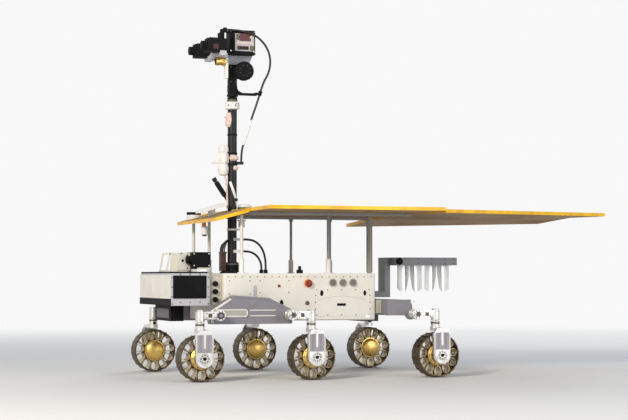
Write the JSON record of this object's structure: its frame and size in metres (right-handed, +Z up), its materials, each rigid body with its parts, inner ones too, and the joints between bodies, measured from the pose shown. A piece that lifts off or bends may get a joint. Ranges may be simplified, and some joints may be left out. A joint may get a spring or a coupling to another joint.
{
  "type": "six-wheeled planetary rover",
  "caption": "Planetary test rover with steered flexible wheels, side and rear bogies, a camera mast with pan and tilt head, and a flat deck on posts.",
  "frame": {"origin": "on the ground, under the middle of the rover's overall length and width", "axes": "+X forward, +Y to the rover's left, +Z up"},
  "size_m": [2.9579, 1.8002, 2.245],
  "materials": {
    "body_white": "satin paint, dusty",
    "vent_grey": "matte",
    "stop_red": "gloss",
    "black_fitting": "matte",
    "frame_grey": "satin",
    "window_black": "gloss",
    "bright_metal": "machined",
    "mast_black": "black anodised",
    "deck_panel": "matte, golden edges",
    "deck_rail": "dull",
    "post_grey": "dull",
    "radar_grey": "brushed",
    "bogie_grey": "satin",
    "wheel_steel": "dusty",
    "cable_black": "matte"
  },
  "bodies": {
    "root": {"main_body": "body_white", "body_lid": "body_white", "side_panels": "body_white", "side_vents": "vent_grey", "stop_buttons": "stop_red", "top_connector": "black_fitting", "neck": "frame_grey", "neck_connectors": "black_fitting", "front_box": "frame_grey", "front_windows": "window_black", "front_face": "body_white", "front_band": "black_fitting", "front_lid": "black_fitting", "lower_sensor": "black_fitting", "sensor_bracket": "body_white", "nav_camera": "black_fitting", "mast_foot": "bright_metal", "mast_tube": "mast_black", "mast_clamps": "body_white", "mast_instrument": "body_white", "deck_center": "deck_panel", "deck_flap": "deck_panel", "deck_wing_left": "deck_panel", "deck_wing_right": "deck_panel", "deck_tail_left": "deck_panel", "deck_tail_right": "deck_panel", "deck_rails": "deck_rail", "deck_posts": "post_grey", "disc_antennas": "body_white", "plate_antenna": "body_white", "radar_antenna": "radar_grey", "radar_mount": "radar_grey", "bogie_left": "bogie_grey", "bogie_right": "bogie_grey", "rear_bogie": "bogie_grey", "bogie_pivots": "bogie_grey", "walking_motors": "bright_metal", "steering_arms": "bright_metal", "mast_cable": "cable_black", "base_cable_high": "cable_black", "base_cable_low": "cable_black"},
    "pan_head": {"pan_unit": "mast_black", "tilt_motor": "mast_black", "cable_arm": "mast_black", "head_cable": "cable_black"},
    "tilt_head": {"tilt_frame": "bright_metal", "rear_box": "mast_black", "mast_cameras": "black_fitting"},
    "steer_front_left": {"leg_front_left": "bright_metal"},
    "roll_front_left": {"wheel_front_left": "wheel_steel"},
    "steer_front_right": {"leg_front_right": "bright_metal"},
    "roll_front_right": {"wheel_front_right": "wheel_steel"},
    "steer_mid_left": {"leg_mid_left": "bright_metal"},
    "roll_mid_left": {"wheel_mid_left": "wheel_steel"},
    "steer_mid_right": {"leg_mid_right": "bright_metal"},
    "roll_mid_right": {"wheel_mid_right": "wheel_steel"},
    "steer_rear_left": {"leg_rear_left": "bright_metal"},
    "roll_rear_left": {"wheel_rear_left": "wheel_steel"},
    "steer_rear_right": {"leg_rear_right": "bright_metal"},
    "roll_rear_right": {"wheel_rear_right": "wheel_steel"}
  },
  "joints": [
    {"name": "mast_pan", "type": "hinge", "parent": "root", "child": "pan_head", "pos_m": [0.961, 0, 1.8], "axis": [0, 0, 1], "range_deg": [-170, 170]},
    {"name": "mast_tilt", "type": "hinge", "parent": "pan_head", "child": "tilt_head", "pos_m": [0.897, 0, 1.968], "axis": [0, -1, 0], "range_deg": [-60, 60], "deforming": ["head_cable"]},
    {"name": "steer_front_left_turn", "type": "hinge", "parent": "root", "child": "steer_front_left", "pos_m": [1.337, 0.6, 0.36], "axis": [0, 0, 1], "range_deg": [-60, 60]},
    {"name": "roll_front_left_turn", "type": "hinge", "parent": "steer_front_left", "child": "roll_front_left", "pos_m": [1.337, 0.6, 0.1425], "axis": [0, 1, 0], "continuous": true},
    {"name": "steer_front_right_turn", "type": "hinge", "parent": "root", "child": "steer_front_right", "pos_m": [1.337, -0.6, 0.36], "axis": [0, 0, 1], "range_deg": [-60, 60]},
    {"name": "roll_front_right_turn", "type": "hinge", "parent": "steer_front_right", "child": "roll_front_right", "pos_m": [1.337, -0.6, 0.1425], "axis": [0, 1, 0], "continuous": true},
    {"name": "steer_mid_left_turn", "type": "hinge", "parent": "root", "child": "steer_mid_left", "pos_m": [0.625, 0.6, 0.36], "axis": [0, 0, 1], "range_deg": [-60, 60]},
    {"name": "roll_mid_left_turn", "type": "hinge", "parent": "steer_mid_left", "child": "roll_mid_left", "pos_m": [0.625, 0.6, 0.1425], "axis": [0, 1, 0], "continuous": true},
    {"name": "steer_mid_right_turn", "type": "hinge", "parent": "root", "child": "steer_mid_right", "pos_m": [0.625, -0.6, 0.36], "axis": [0, 0, 1], "range_deg": [-60, 60]},
    {"name": "roll_mid_right_turn", "type": "hinge", "parent": "steer_mid_right", "child": "roll_mid_right", "pos_m": [0.625, -0.6, 0.1425], "axis": [0, 1, 0], "continuous": true},
    {"name": "steer_rear_left_turn", "type": "hinge", "parent": "root", "child": "steer_rear_left", "pos_m": [-0.208, 0.6, 0.36], "axis": [0, 0, 1], "range_deg": [-60, 60]},
    {"name": "roll_rear_left_turn", "type": "hinge", "parent": "steer_rear_left", "child": "roll_rear_left", "pos_m": [-0.208, 0.6, 0.1425], "axis": [0, 1, 0], "continuous": true},
    {"name": "steer_rear_right_turn", "type": "hinge", "parent": "root", "child": "steer_rear_right", "pos_m": [-0.208, -0.6, 0.36], "axis": [0, 0, 1], "range_deg": [-60, 60]},
    {"name": "roll_rear_right_turn", "type": "hinge", "parent": "steer_rear_right", "child": "roll_rear_right", "pos_m": [-0.208, -0.6, 0.1425], "axis": [0, 1, 0], "continuous": true}
  ]
}
